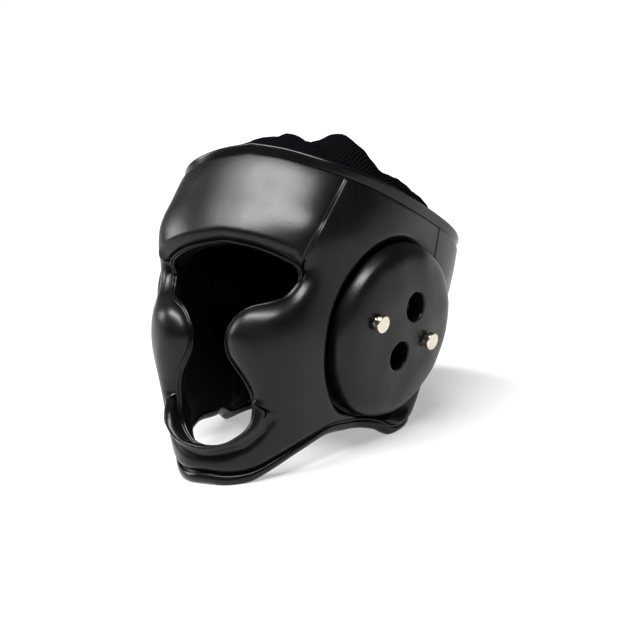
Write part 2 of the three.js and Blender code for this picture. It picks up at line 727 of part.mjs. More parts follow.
addMesh(head, "forehead_pad", foreheadPad(), leather());
addMesh(head, "face_guard", faceGuard(), leather());
addMesh(head, "back_pad", backPad(), leather());
addMesh(head, "chin_roll", chinRoll(), leather());
addMesh(head, "rim_piping", rimPiping(), piping());
addMesh(head, "face_piping", facePiping(), piping());
addMesh(head, "crown_cover", crownCover(), cloth());
const hem = addMesh(root, "hem_piping", hemPiping(head.matrix), piping());

for (const side of [1, -1]) {
  const name = side > 0 ? "left" : "right";
  const { centre, face, studs, holes } = earSeat(side);
  const ear = new THREE.Group();
  const sideways = new THREE.Vector3().crossVectors(face, holes);
  ear.quaternion.setFromRotationMatrix(new THREE.Matrix4().makeBasis(sideways, face, holes));
  ear.position.copy(centre);
  head.add(ear);
  const rearward = Math.sign(sideways.dot(studs));
  addMesh(ear, "ear_cup_" + name, earCup(rearward), leather());
  for (const way of ["front", "rear"]) {
    const reach = STUD.back + (way === "front" ? -STUD.reach : STUD.reach);
    const pin = addMesh(ear, "stud_" + name + "_" + way, stud(Math.abs(reach)), nickel());
    pin.position.set(reach * rearward, 0, STUD.up);
  }
}

// The origin is under the middle of the guard, on the floor
root.updateMatrixWorld(true);
const middle = new THREE.Box3().setFromObject(root, true).getCenter(new THREE.Vector3());
head.position.y -= middle.y;
hem.position.y -= middle.y;

export default root;
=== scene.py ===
# A padded head guard for sparring, standing on its chin and its rear hem.
# The wearer's left is +X, the face looks along -Y and the floor is at Z 0, in metres.
# Soft pieces are worked out in millimetres on a head frame that leans back on the floor.
import math
import bmesh
import bpy
import numpy as np
from mathutils import Matrix, Vector, noise


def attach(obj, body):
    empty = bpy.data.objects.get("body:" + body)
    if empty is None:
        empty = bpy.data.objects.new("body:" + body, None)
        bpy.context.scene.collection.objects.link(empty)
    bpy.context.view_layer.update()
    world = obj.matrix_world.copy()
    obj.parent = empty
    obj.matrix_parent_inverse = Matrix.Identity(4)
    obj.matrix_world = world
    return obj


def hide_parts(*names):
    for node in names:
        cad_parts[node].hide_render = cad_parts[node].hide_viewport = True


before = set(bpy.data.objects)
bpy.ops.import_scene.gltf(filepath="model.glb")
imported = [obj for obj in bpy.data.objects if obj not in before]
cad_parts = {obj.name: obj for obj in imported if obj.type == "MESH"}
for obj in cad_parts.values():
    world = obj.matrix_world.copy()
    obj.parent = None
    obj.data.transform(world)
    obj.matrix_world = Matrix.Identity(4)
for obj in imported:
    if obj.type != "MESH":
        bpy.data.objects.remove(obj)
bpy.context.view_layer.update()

# Camera, floor and studio light
# The guard is seen from the wearer's front left, a little from above, through a long lens.
# It stands on a plain white floor with painted light, a glow that is fainter near the guard and stronger
# further off, in a dim room, under one broad softbox that hangs over its face, with a smaller lamp at the
# wearer's right.
CAMERA = {"azimuth": 30.82, "elevation": 11.83, "roll": 4.61, "distance": 1.2067, "lens": 85.71}
CAMERA_AIM = Vector((0.0, 0.0212, 0.1073))
CAMERA_SHIFT = (0.0066, -0.0419)


def camera_axes(azimuth, elevation, roll):
    """Right, up and back of a camera at a bearing, a slope and a roll, in degrees."""
    a, e, r = (math.radians(v) for v in (azimuth, elevation, roll))
    back = Vector((math.cos(e) * math.sin(a), -math.cos(e) * math.cos(a), math.sin(e)))
    level = Vector((math.cos(a), math.sin(a), 0.0))
    upright = back.cross(level)
    up = upright * math.cos(r) + level * math.sin(r)
    right = level * math.cos(r) - upright * math.sin(r)
    return right, up, back


def add_camera():
    right, up, back = camera_axes(CAMERA["azimuth"], CAMERA["elevation"], CAMERA["roll"])
    data = bpy.data.cameras.new("camera")
    data.lens = CAMERA["lens"]
    data.sensor_width = 36.0
    data.shift_x, data.shift_y = CAMERA_SHIFT
    data.clip_end = 200.0
    camera = bpy.data.objects.new("camera", data)
    place = Matrix((right, up, back)).transposed().to_4x4()
    place.translation = CAMERA_AIM + back * CAMERA["distance"]
    camera.matrix_world = place
    bpy.context.collection.objects.link(camera)
    bpy.context.scene.camera = camera


def add_light(name, azimuth, elevation, distance, **settings):
    """An area light that looks at the guard from a bearing round it, counted like the camera's."""
    data = bpy.data.lights.new(name, "AREA")
    for setting, value in settings.items():
        setattr(data, setting, value)
    back = camera_axes(azimuth, elevation, 0.0)[2]
    light = bpy.data.objects.new(name, data)
    light.location = CAMERA_AIM + back * distance
    light.rotation_euler = back.to_track_quat("Z", "Y").to_euler()
    bpy.context.collection.objects.link(light)


def dim_room():
    """Light from all round: some at the height of the guard and little from above."""
    world = bpy.data.worlds.new("studio")
    world.use_nodes = True
    nodes, links = world.node_tree.nodes, world.node_tree.links
    place = nodes.new("ShaderNodeTexCoord")
    height = nodes.new("ShaderNodeSeparateXYZ")
    links.new(place.outputs["Generated"], height.inputs["Vector"])
    fade = nodes.new("ShaderNodeValToRGB")
    fade.color_ramp.elements[0].position = 0.04
    fade.color_ramp.elements[1].position = 0.55
    fade.color_ramp.elements.new(0.07)
    for stop, level in zip(fade.color_ramp.elements, (1.0, 0.16, 0.06)):
        stop.color = (level, level, level, 1.0)
    links.new(height.outputs["Z"], fade.inputs["Fac"])
    links.new(fade.outputs["Color"], nodes["Background"].inputs["Color"])
    return world


def new_material(name):
    """A material with its nodes, its links and its shader."""
    material = bpy.data.materials.new(name)
    material.use_nodes = True
    nodes = material.node_tree.nodes
    return material, nodes, material.node_tree.links, nodes["Principled BSDF"]


def add_range(nodes, low, high):
    """A node that spreads a value over another range."""
    node = nodes.new("ShaderNodeMapRange")
    node.inputs["To Min"].default_value = low
    node.inputs["To Max"].default_value = high
    return node


def pale_floor():
    """Matt pale floor with painted light: its glow grows with the distance from the guard, lifting the
    cast shadow near it and standing in for lamp light further off.
    """
    material, nodes, links, shader = new_material("pale_floor")
    shader.inputs["Base Color"].default_value = (0.42, 0.42, 0.42, 1.0)
    shader.inputs["Emission Color"].default_value = (1.0, 1.0, 1.0, 1.0)
    place = nodes.new("ShaderNodeTexCoord")
    away = nodes.new("ShaderNodeVectorMath")
    away.operation = "LENGTH"
    links.new(place.outputs["Object"], away.inputs[0])
    # painted light: the floor's emission, 0.42 near the guard and 1.0 far off, stands in for lamp light
    glow = add_range(nodes, 0.42, 1.0)
    glow.interpolation_type = "SMOOTHSTEP"
    glow.inputs["From Min"].default_value = 0.3
    glow.inputs["From Max"].default_value = 2.2
    links.new(away.outputs["Value"], glow.inputs["Value"])
    links.new(glow.outputs["Result"], shader.inputs["Emission Strength"])
    grain = nodes.new("ShaderNodeTexNoise")
    grain.inputs["Scale"].default_value = 40.0
    rough = add_range(nodes, 0.75, 0.9)
    links.new(grain.outputs["Fac"], rough.inputs["Value"])
    links.new(rough.outputs["Result"], shader.inputs["Roughness"])
    return material


add_camera()
add_light("softbox", -8.0, 71.0, 1.8, energy=100.0, shape="RECTANGLE", size=2.0, size_y=0.55)
add_light("side", -80.0, 24.0, 3.0, energy=33.0, shape="DISK", size=1.2)
bpy.context.scene.world = dim_room()
bpy.context.scene.view_settings.view_transform = "Standard"
bpy.ops.mesh.primitive_plane_add(size=160.0)
floor = bpy.context.object
floor.name = "floor"
floor.data.materials.append(pale_floor())

# Forehead pad
# A bent slab of foam under smooth black leather over the brow, with a rolled lip above
# the eyes. It is sewn to the temples along both sides and bound along the top.
LEAN = math.radians(34)
LIFT = 116.3
SHIFT = 22.67
WALL = 21.0
ROLL = 9.0
BROW_WIDE = 7.5
SEAM_ROUND = 1.3
SEAM_GAP = 0.42
NAPE = (90, 130)
FRONT_SEAM = {"top": 41, "angle": 31.9, "slope": 0.1}
BROW_LINED = 6.5


def columns(names, *rows):
    """A short table with named columns."""
    return dict(zip(names.split(), np.array(rows, float).T))


SHELL = columns(
    "z side nape front rear square",
    (-195, 40, 80, 78, 86, 2.6),
    (-150, 59, 82, 101, 95, 2.75),
    (-110, 68, 84.5, 122, 103.5, 2.8),
    (-70, 81, 92, 134, 110, 2.6),
    (-30, 90, 96, 134.5, 113, 2.55),
    (10, 97.5, 101, 131, 113, 2.6),
    (65, 98.5, 101, 122.5, 112, 2.6),
    (110, 95, 97, 112.5, 109, 2.5),
)
SWELLS = [
    {"angle": 27, "z": -92, "wide": 17, "tall": 30, "high": 5.5},
    {"angle": 32, "z": -10, "wide": 15, "tall": 24, "high": 6},
]
RIM = columns(
    "angle z",
    (0, 50), (12, 46.5), (24, 42.5), (36, 41), (64, 43.5), (95.5, 50), (130, 55), (180, 57),
)
BROW = columns("across z", (0, -21.5), (0.31, -24), (0.68, -28.5), (1, -34))


def smoothstep(value, low, high):
    t = np.clip((value - low) / (high - low), 0, 1)
    return t * t * (3 - 2 * t)


def lerp(a, b, t):
    return a + (b - a) * t


def bend_between(a, leave, b, reach, t):
    """Smooth way from a to b with a slope at each end."""
    start = a * (1 + 2 * t) * (1 - t) ** 2 + leave * t * (1 - t) ** 2
    return start + b * t * t * (3 - 2 * t) + reach * t * t * (t - 1)


def along(rows, key, value):
    """Smooth value of every column where the key column has the given values."""
    keys = rows[key]
    last = len(keys) - 1
    at = np.clip(value, keys[0], keys[last])
    n = np.clip(np.searchsorted(keys, at), 1, last)
    span = keys[n] - keys[n - 1]
    t = (at - keys[n - 1]) / span
    before = np.maximum(np.arange(last + 1) - 1, 0)
    after = np.minimum(np.arange(last + 1) + 1, last)
    row = {}
    for name, column in rows.items():
        slope = (column[after] - column[before]) / (keys[after] - keys[before])
        row[name] = bend_between(column[n - 1], slope[n - 1] * span, column[n], slope[n] * span, t)
    return row


def around(angle):
    return np.abs((np.asarray(angle, float) + 540) % 360 - 180)


def rim_height(angle):
    return along(RIM, "angle", around(angle))["z"]


def front_seam(z):
    return FRONT_SEAM["angle"] + FRONT_SEAM["slope"] * z


def skin(angle, z, out=0.0):
    """Points of the guard's outside at angles round the head and heights, moved out from it."""
    angle, z, out = np.broadcast_arrays(np.asarray(angle, float), z, out)
    row = along(SHELL, "z", z)
    across, ahead = np.sin(np.radians(angle)), np.cos(np.radians(angle))
    off = around(angle)
    swell = 0.0
    for bump in SWELLS:
        aside = (off - bump["angle"]) / bump["wide"]
        above = (z - bump["z"]) / bump["tall"]
        swell = swell + bump["high"] * np.exp(-(aside**2) - above**2)
    half = lerp(row["side"], row["nape"], smoothstep(off, *NAPE)) + swell + out
    reach = np.where(ahead > 0, row["front"], row["rear"]) + swell + out
    power = row["square"]
    radius = ((np.abs(across) / half) ** power + (np.abs(ahead) / reach) ** power) ** (-1 / power)
    return np.stack([radius * across, -radius * ahead, z], -1)


def stand(points):
    """Head frame in millimetres to the floor's frame in metres; what would sink in is pressed flat."""
    x, y, z = np.moveaxis(np.asarray(points, float), -1, 0)
    back = y * math.cos(LEAN) + z * math.sin(LEAN) + SHIFT
    up = z * math.cos(LEAN) - y * math.sin(LEAN) + LIFT
    return np.stack([x, back, np.maximum(up, 0.0)], -1) / 1000


def round_drop(distance, radius):
    """How far a rounded edge falls away at a distance in from it."""
    inside = np.clip(radius - distance, 0, radius)
    return radius - np.sqrt(np.maximum(radius**2 - inside**2, 0))


def edge_rows(count):
    """Shares from 0 to 1, close together at 0, for the rows round an edge."""
    return 1 - np.cos(np.linspace(0, np.pi / 2, count))


def edge_stops(width, first, last, flats, corner=8):
    """Distances across a pad, close together on its two rounded edges."""
    bend = edge_rows(corner + 1)
    width = width[:, None]
    near = np.broadcast_to(first * bend, (len(width), corner + 1))
    middle = lerp(first, width - last, (np.arange(1, flats) / flats)[None, :])
    return np.concatenate([near, middle, (width - last * bend)[:, ::-1]], 1)


def band_width(place, reach=1.0):
    """Length of each band along the skin, from its first edge to its last."""
    route = skin(*place(np.linspace(0, 1, 9)[None, :] * reach))
    return np.linalg.norm(np.diff(route, axis=1), axis=-1).sum(1)


def uneven(points, size, high):
    """Soft unevenness of stuffed leather, in millimetres."""
    flat = points.reshape(-1, 3) / size
    return high * np.array([noise.noise(Vector(p)) for p in flat]).reshape(points.shape[:-1])


def mesh_piece(name, corners, faces, materials):
    """A smooth mesh with its faces turned outwards, from corners in metres and lists of their numbers."""
    mesh = bpy.data.meshes.new(name)
    mesh.from_pydata(corners.tolist(), [], faces)
    shape = bmesh.new()
    shape.from_mesh(mesh)
    bmesh.ops.recalc_face_normals(shape, faces=shape.faces)
    shape.to_mesh(mesh)
    shape.free()
    mesh.shade_smooth()
    for material in materials:
        mesh.materials.append(material)
    piece = bpy.data.objects.new(name, mesh)
    bpy.context.collection.objects.link(piece)
    return piece


def quads(a, b, c, d):
    return np.stack([a, b, c, d], -1).reshape(-1, 4)


def patch(name, outer, inner, lined=False):
    """Closed pad from an outer and an inner grid; lined is true where the outer one shows lining."""
    rows, across = outer.shape[:2]
    index = np.arange(rows * across).reshape(rows, across)
    within = index + rows * across
    face = quads(index[:-1, :-1], index[1:, :-1], index[1:, 1:], index[:-1, 1:])
    lining_face = quads(within[:-1, :-1], within[:-1, 1:], within[1:, 1:], within[1:, :-1])
    rim = np.concatenate([index[0, :-1], index[:-1, -1], index[-1, :0:-1], index[:0:-1, 0]])
    follow = np.roll(rim, -1)
    edge = quads(rim, follow, follow + rows * across, rim + rows * across)
    corners = np.concatenate([outer.reshape(-1, 3), inner.reshape(-1, 3)])
    faces = np.concatenate([face, edge, lining_face]).tolist()
    piece = mesh_piece(name, stand(corners), faces, [pad_leather, lining])
    slots = np.ones(len(faces), int)
    slots[:len(face)] = np.broadcast_to(lined, (rows, across))[:-1, :-1].ravel()
    piece.data.polygons.foreach_set("material_index", slots)
    return piece


def add_texture(nodes, links, kind, scale, **sockets):
    """A texture that lies on the piece by the piece's own coordinates."""
    place = nodes.new("ShaderNodeTexCoord")
    node = nodes.new("ShaderNodeTex" + kind)
    node.inputs["Scale"].default_value = scale
    for socket, value in sockets.items():
        node.inputs[socket].default_value = value
    links.new(place.outputs["Object"], node.inputs["Vector"])
    return node


def add_bump(nodes, strength, distance):
    """A node that turns the normal by a height, in metres."""
    node = nodes.new("ShaderNodeBump")
    node.inputs["Strength"].default_value = strength
    node.inputs["Distance"].default_value = distance
    return node


def add_tint(nodes, dark, pale):
    """A ramp from a dark shade to a paler one."""
    node = nodes.new("ShaderNodeValToRGB")
    for stop, shade in zip(node.color_ramp.elements, (dark, pale)):
        stop.color = (*shade, 1.0)
    return node


def black_leather(name, dark, worn, rough, grain, shine):
    """Smooth satin leather: fine pores, faint creases and uneven polish."""
    material, nodes, links, shader = new_material(name)
    shader.inputs["Specular IOR Level"].default_value = shine
    patches = add_texture(nodes, links, "Noise", 28.0, Detail=4.0, Roughness=0.55)
    tint = add_tint(nodes, dark, worn)
    tint.color_ramp.elements[0].position = 0.35
    tint.color_ramp.elements[1].position = 0.75
    links.new(patches.outputs["Fac"], tint.inputs["Fac"])
    links.new(tint.outputs["Color"], shader.inputs["Base Color"])

    polish = add_range(nodes, *rough)
    polish.inputs["From Min"].default_value = 0.3
    polish.inputs["From Max"].default_value = 0.7
    links.new(patches.outputs["Fac"], polish.inputs["Value"])
    links.new(polish.outputs["Result"], shader.inputs["Roughness"])

    creases = add_texture(nodes, links, "Noise", 70.0, Detail=3.0, Distortion=0.6)
    soft = add_bump(nodes, 0.045, 0.002)
    links.new(creases.outputs["Fac"], soft.inputs["Height"])
    pores = add_texture(nodes, links, "Voronoi", 950.0)
    fine = add_bump(nodes, grain, 0.0004)
    links.new(pores.outputs["Distance"], fine.inputs["Height"])
    links.new(soft.outputs["Normal"], fine.inputs["Normal"])
    links.new(fine.outputs["Normal"], shader.inputs["Normal"])
    return material


def black_lining(name):
    """Close matt cloth glued over the inside of the foam."""
    material, nodes, links, shader = new_material(name)
    shader.inputs["Base Color"].default_value = (0.0009, 0.0009, 0.0011, 1.0)
    shader.inputs["Specular IOR Level"].default_value = 0.06
    weave = add_texture(nodes, links, "Noise", 600.0)
    rough = add_range(nodes, 0.75, 0.95)
    links.new(weave.outputs["Fac"], rough.inputs["Value"])
    links.new(rough.outputs["Result"], shader.inputs["Roughness"])
    relief = add_bump(nodes, 0.3, 0.0003)
    links.new(weave.outputs["Fac"], relief.inputs["Height"])
    links.new(relief.outputs["Normal"], shader.inputs["Normal"])
    return material


pad_leather = black_leather(
    "pad_leather",
    dark=(0.0018, 0.0018, 0.002),
    worn=(0.0036, 0.0036, 0.004),
    rough=(0.27, 0.36),
    grain=0.1,
    shine=0.25,
)
lining = black_lining("lining")


def forehead_pad():
    """The pad over the brow, from its rolled lip up to the rim."""
    half_width = 53.0
    end_round = 1.8
    end_roll = 4.0
    puff = 1.5
    brow_proud = 2.8
    brow_reach = 0.45
    ends = end_round * edge_rows(8) / half_width
    across = np.concatenate([-1 + ends, np.linspace(-1, 1, 62)[3:-3], 1 - ends[::-1]])
    low = along(BROW, "across", np.abs(across))["z"]
    high = rim_height(across * front_seam(FRONT_SEAM["top"]))
    roll = lerp(ROLL, end_roll, smoothstep(np.abs(across), 0.9, 1))[:, None]

    def place(t):
        z = lerp(low[:, None], high[:, None], t)
        return across[:, None] * (front_seam(z) - SEAM_GAP), z

    width = band_width(place)
    stops = edge_stops(width, roll * BROW_WIDE / ROLL, SEAM_ROUND, flats=34, corner=10)
    t = stops / width[:, None]
    angle, z = place(t)
    proud = puff * (1 - (2 * t - 1) ** 4) + brow_proud * np.clip(1 - t / brow_reach, 0, 1) ** 2
    end = round_drop((1 - np.abs(across))[:, None] * half_width, end_round)
    rolled = round_drop(stops * ROLL / BROW_WIDE, roll)
    drop = np.maximum(np.maximum(rolled, round_drop(width[:, None] - stops, SEAM_ROUND)), end)
    soft = uneven(skin(angle, z), size=34.0, high=0.25)
    outer = skin(angle, z, proud + soft - drop)
    inner = skin(angle, z, drop - WALL)
    return patch("forehead", outer, inner, rolled > BROW_LINED)


forehead = forehead_pad()
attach(forehead, "root")
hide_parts("forehead_pad")

# Face guard
# One bent pad of foam and leather for the temples, cheeks and chin, with rolled free edges
# round the face. It is pressed in under each ear cup and open over the ear.
CHIN_WALL = 18.0
JAW_WALL = 10.0
HEM_ROUND = 3.5
CHEEK_ROLL = 12.5
CHEEK_WIDE = 19.0
CHEEK_LINED = 11.7
INNER_ROLL = 6.0
CLEAR = 0.4
SEAT = {"wall": 5.0, "blend": 3.5, "lip_in": 3.0, "lip_out": 1.0,
        "hem_near": 2.0, "hem_far": 12.0, "fade": 3.0}
CHIN_ROWS = (11, 16)
JAW_ROWS = 5
HEM = columns(
    "angle z",
    (0, -183.2), (10.6, -183), (18.5, -180), (25.9, -174.5), (35.5, -162.9), (48.3, -146), (62.6, -129.4),
    (71.3, -123), (85, -116.2), (99, -109.2), (109, -105.6), (119.4, -104), (135, -86.7), (150, -73.4),
    (165, -65), (180, -61.9),
)
REAR_SEAM = columns("z angle", (-105.6, 109), (-60, 105), (-20, 101), (20, 97.5), (50, 95.5))
SEAM_FOOT = 7
GUARD = columns(
    "angle z seam hem",
    (36, 41, 50, 109), (33.9, 20, 27, 109), (31.6, -3, 2, 109), (28.8, -31, -25, 109),
    (28.3, -43, -50, 109), (25.2, -56.5, -72, 109), (20.5, -64, -90, 109), (13.5, -72, -105.6, 109),
    (9.5, -81.5, -105.6, 101), (7.5, -93.6, -105.6, 92), (9, -105, -105.6, 82),
    (14.3, -116.5, -105.6, 72), (18.2, -125.5, -105.6, 63), (20.8, -134, -105.6, 56),
    (30, -138.5, -105.6, 50), (28.5, -148, -105.6, 42), (24.8, -157.5, -105.6, 34),
    (18.8, -166.5, -105.6, 25), (9.5, -173.5, -105.6, 13), (0, -174.4, -105.6, 0),
)
FACE_EDGES = [
    {"from": 0, "to": 3.2, "round": SEAM_ROUND, "wide": SEAM_ROUND},
    {"from": 3.3, "to": 12.6, "round": CHEEK_ROLL, "wide": CHEEK_WIDE},
    {"from": 12.9, "to": 14, "round": 1.0, "wide": 1.0},
]
UNDER_CHIN_ROLL = {"rows": (13.05, 13.9), "lap": 7.0, "crease": 2.4, "from": -3.0, "wide": 4.5}
EAR = {"y": -7.4, "z": -41.9, "sunk": 10.9, "down": 14.7, "forward": 2.9, "radius": 68.5, "height": 25.0,
       "hollow": 30.0, "hollow_depth": 12.0, "ramp_start": 1.0, "ramp": 1.3, "ramp_rear": 0.4,
       "lip_rear": 5.0, "turn": 11.0}


def hem_height(angle):
    return along(HEM, "angle", around(angle))["z"]


def rear_seam(z):
    return along(REAR_SEAM, "z", z)["angle"]


def mirrored(rows, turned):
    """A table read by step: down the wearer's left to the chin and up the right."""
    size = len(next(iter(rows.values())))
    both = {name: np.concatenate([c, (-c if name in turned else c)[-2::-1]]) for name, c in rows.items()}
    both["step"] = np.arange(2 * size - 1, dtype=float)
    return both


GUARD_ROWS = mirrored(GUARD, ["angle"])
CHIN_STEP = len(GUARD["z"]) - 1


def guard_bands(steps):
    """Where bands of the guard run, from the face edge at 0 to the rear edge at 1."""
    row = along(GUARD_ROWS, "step", steps)
    half = CHIN_STEP - np.abs(CHIN_STEP - steps)
    on_seam = half <= SEAM_FOOT
    end_z = np.where(on_seam, row["seam"], hem_height(row["hem"]))
    side = np.where(steps <= CHIN_STEP, 1, -1)
    end_angle = side * np.where(on_seam, rear_seam(row["seam"]), row["hem"])
    near_rim = np.maximum(0, 1 - half)
    top = {name: column[0] for name, column in GUARD.items()}

    def place(t):
        dip = rim_height(lerp(top["angle"], rear_seam(top["seam"]), t)) - lerp(top["z"], top["seam"], t)
        z = lerp(row["z"][:, None], end_z[:, None], t) + near_rim[:, None] * dip
        return lerp(row["angle"][:, None], end_angle[:, None], t), z

    wall = lerp(WALL, CHIN_WALL, smoothstep(half, *CHIN_ROWS))
    thin = lerp(WALL, JAW_WALL, smoothstep(half, SEAM_FOOT, SEAM_FOOT + JAW_ROWS))
    return place, wall, thin, np.where(on_seam, SEAM_ROUND, HEM_ROUND), half


def guard_place(steps):
    return guard_bands(steps)[0]


def ear_seat(side):
    """Middle of an ear's seat, the way its cup faces, and the lines of its studs and holes."""
    down, forward, turn = (math.radians(EAR[k]) for k in ("down", "forward", "turn"))
    face = np.array([
        side * math.cos(forward) * math.cos(down),
        -math.sin(forward) * math.cos(down),
        -math.sin(down),
    ])
    aside = math.degrees(math.atan2(along(SHELL, "z", EAR["z"])["side"], -EAR["y"]))
    centre = np.array([side * (skin(aside, EAR["z"])[0] - EAR["sunk"]), EAR["y"], EAR["z"]])
    back = np.array([0.0, 1.0, 0.0])
    back -= face * (back @ face)
    back /= np.linalg.norm(back)
    up = np.cross(face, back) * side
    studs = back * math.cos(turn) + up * math.sin(turn)
    holes = up * math.cos(turn) - back * math.sin(turn)
    return centre, face, studs, holes


def soft_min(a, b, blend):
    h = np.clip(0.5 + 0.5 * (b - a) / blend, 0, 1)
    return lerp(b, a, h) - blend * h * (1 - h)


def press_seats(points, depth):
    """Presses a flat round seat with a sloping wall into the pads under each ear cup."""
    points = points.copy()
    for side in (1, -1):
        centre, face, studs = ear_seat(side)[:3]
        away = points - centre
        height = away @ face
        aside = away - height[..., None] * face
        radius = np.linalg.norm(aside, axis=-1)
        rear = smoothstep(aside @ studs / (radius + 1.0), 0.0, 0.6)
        ramp = lerp(EAR["ramp"], EAR["ramp_rear"], rear)
        edge = EAR["radius"]
        lip = EAR["lip_rear"] * rear * smoothstep(radius, edge - SEAT["lip_in"], edge + SEAT["lip_out"])
        limit = np.maximum(radius - edge - EAR["ramp_start"], 0) * ramp + lip - depth
        push = soft_min(height, limit, SEAT["blend"]) - height
        turn = np.degrees(np.arctan2(points[..., 0], -points[..., 1]))
        over_hem = points[..., 2] - hem_height(turn)
        by_hem = 1 - smoothstep(over_hem, SEAT["hem_near"], SEAT["hem_far"])
        push *= 1 - by_hem * smoothstep(radius, edge, edge + SEAT["fade"])
        points[..., 0] += np.where(points[..., 0] * side > 0, push / face[0], 0)
    return points


def edge_drop(points, edges):
    """How far the leather has rolled away at points near the face edges."""
    flat = np.stack([np.abs(points[..., 0]), points[..., 1], points[..., 2]], -1).reshape(-1, 3)
    drop = np.zeros(len(flat))
    for radius, wide, route in edges:
        for a, b in zip(route[:-1], route[1:]):
            t = np.clip(((flat - a) @ (b - a)) / ((b - a) @ (b - a)), 0, 1)
            distance = np.linalg.norm(flat - a - t[:, None] * (b - a), axis=1)
            drop = np.maximum(drop, round_drop(distance * radius / wide, radius))
    return drop.reshape(points.shape[:-1])


def bore(piece, radius, length, places):
    """Cuts round holes; a place is a point and a direction in the head frame."""
    for point, way in places:
        shape = bmesh.new()
        size = radius / 1000
        bmesh.ops.create_cone(
            shape, cap_ends=True, segments=64, radius1=size, radius2=size, depth=length / 1000
        )
        mesh = bpy.data.meshes.new("cutter")
        shape.to_mesh(mesh)
        shape.free()
        cutter = bpy.data.objects.new("cutter", mesh)
        ends = stand(np.array([point - way, point + way]))
        turn = Vector(ends[1] - ends[0]).to_track_quat("Z", "Y").to_matrix().to_4x4()
        cutter.matrix_world = Matrix.Translation(Vector(ends.mean(0))) @ turn
        bpy.context.collection.objects.link(cutter)
        cut = piece.modifiers.new("bore", "BOOLEAN")
        cut.operation = "DIFFERENCE"
        cut.solver = "MANIFOLD"
        cut.object = cutter
        shown = piece.evaluated_get(bpy.context.evaluated_depsgraph_get())
        whole = bpy.data.meshes.new_from_object(shown)
        piece.modifiers.clear()
        piece.data = whole
        bpy.data.objects.remove(cutter)
        axis = (ends[1] - ends[0]) / np.linalg.norm(ends[1] - ends[0])
        middles = np.array([face.center for face in whole.polygons]) - ends.mean(0)
        depth = middles @ axis
        off = np.linalg.norm(middles - depth[:, None] * axis, axis=1)
        slots = np.array([face.material_index for face in whole.polygons])
        slots[(off < size + 1e-5) & (np.abs(depth) < length / 2000)] = 1
        whole.polygons.foreach_set("material_index", slots)
    piece.data.set_sharp_from_angle(angle=math.radians(50))


def chin_crease(distance):
    """Depth of the soft valley along the chin roll, at distances outwards from the roll's edge."""
    off = (distance - UNDER_CHIN_ROLL["from"]) / UNDER_CHIN_ROLL["wide"]
    return UNDER_CHIN_ROLL["crease"] * np.exp(-(off**2))


def face_guard():
    """The pad in bands, from the rim down one side, round the chin and up the other side."""
    end_round = 2.5
    row_height = 21.0
    rows_per_step = 11
    edge_points_per_step = 6
    widest_lip = 0.45
    last_step = 2 * CHIN_STEP
    ends = end_round * edge_rows(7) / row_height
    even = np.linspace(0, last_step, rows_per_step * last_step + 1)[1:-1]
    steps = np.unique(np.concatenate([ends, even, last_step - ends[::-1]]).round(5))
    place, wall, thin, last, half = guard_bands(steps)
    at_chin = smoothstep(half, *UNDER_CHIN_ROLL["rows"])
    under = UNDER_CHIN_ROLL["lap"] * at_chin
    width = band_width(place) + under
    lip = np.minimum(CHEEK_WIDE, widest_lip * width)[:, None]
    stops = edge_stops(width, lip, last[:, None], flats=64, corner=10)
    beyond = stops - under[:, None]
    t = beyond / (width - under)[:, None]
    angle, z = place(t)
    edges = []
    for edge in FACE_EDGES:
        points = math.ceil(edge_points_per_step * (edge["to"] - edge["from"]))
        rows = np.linspace(edge["from"], edge["to"], points)
        angles, heights = guard_place(rows)(np.zeros((1, 1)))
        edges.append((edge["round"], edge["wide"], skin(angles[:, 0], heights[:, 0])))
    rolled = edge_drop(skin(angle, z), edges)
    drop = np.maximum(rolled, round_drop(width[:, None] - stops, last[:, None]))
    drop = np.maximum(drop, round_drop(half * row_height, end_round)[:, None])
    soft = uneven(skin(angle, z), size=30.0, high=0.7) - chin_crease(beyond) * at_chin[:, None]
    thickness = lerp(wall[:, None], thin[:, None], smoothstep(t, 0, 1))
    outer = press_seats(skin(angle, z, soft - drop), CLEAR)
    inner = press_seats(skin(angle, z, np.minimum(drop, INNER_ROLL) - thickness), CLEAR + SEAT["wall"])
    return patch("face_guard_pad", outer, inner, rolled > CHEEK_LINED)


def open_ears(piece):
    bore(piece, EAR["hollow"], 3.0 * WALL, [ear_seat(side)[:2] for side in (1, -1)])


guard = face_guard()
open_ears(guard)
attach(guard, "root")
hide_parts("face_guard")

# Back pad
# A plain curved pad of foam and leather round the back of the head, sewn to the temples
# along two near upright seams and pressed in under the rear of each ear cup.
BACK_WALL = 17.0


def back_pad():
    """The pad behind the head, from one rear seam to the other."""
    foot, head = REAR_SEAM["angle"][0], REAR_SEAM["angle"][-1]
    width_round = 230.0
    end_round = 2.5
    ends = end_round * edge_rows(7) / width_round
    share = np.unique(np.concatenate([ends, np.linspace(0, 1, 97), 1 - ends]).round(6))
    low = hem_height(lerp(foot, 360 - foot, share))
    high = rim_height(lerp(head, 360 - head, share))

    def place(t):
        z = lerp(low[:, None], high[:, None], t)
        seam = rear_seam(z) + SEAM_GAP
        return lerp(seam, 360 - seam, share[:, None]), z

    width = band_width(place)
    stops = edge_stops(width, HEM_ROUND, SEAM_ROUND, flats=44)
    angle, z = place(stops / width[:, None])
    drop = np.maximum(round_drop(stops, HEM_ROUND), round_drop(width[:, None] - stops, SEAM_ROUND))
    drop = np.maximum(drop, round_drop(np.minimum(share, 1 - share) * width_round, end_round)[:, None])
    soft = uneven(skin(angle, z), size=38.0, high=0.7)
    outer = press_seats(skin(angle, z, soft - drop), CLEAR)
    inner = press_seats(skin(angle, z, drop - BACK_WALL), CLEAR + SEAT["wall"])
    return patch("back_pad_cover", outer, inner)


back = back_pad()
open_ears(back)
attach(back, "root")
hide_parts("back_pad")

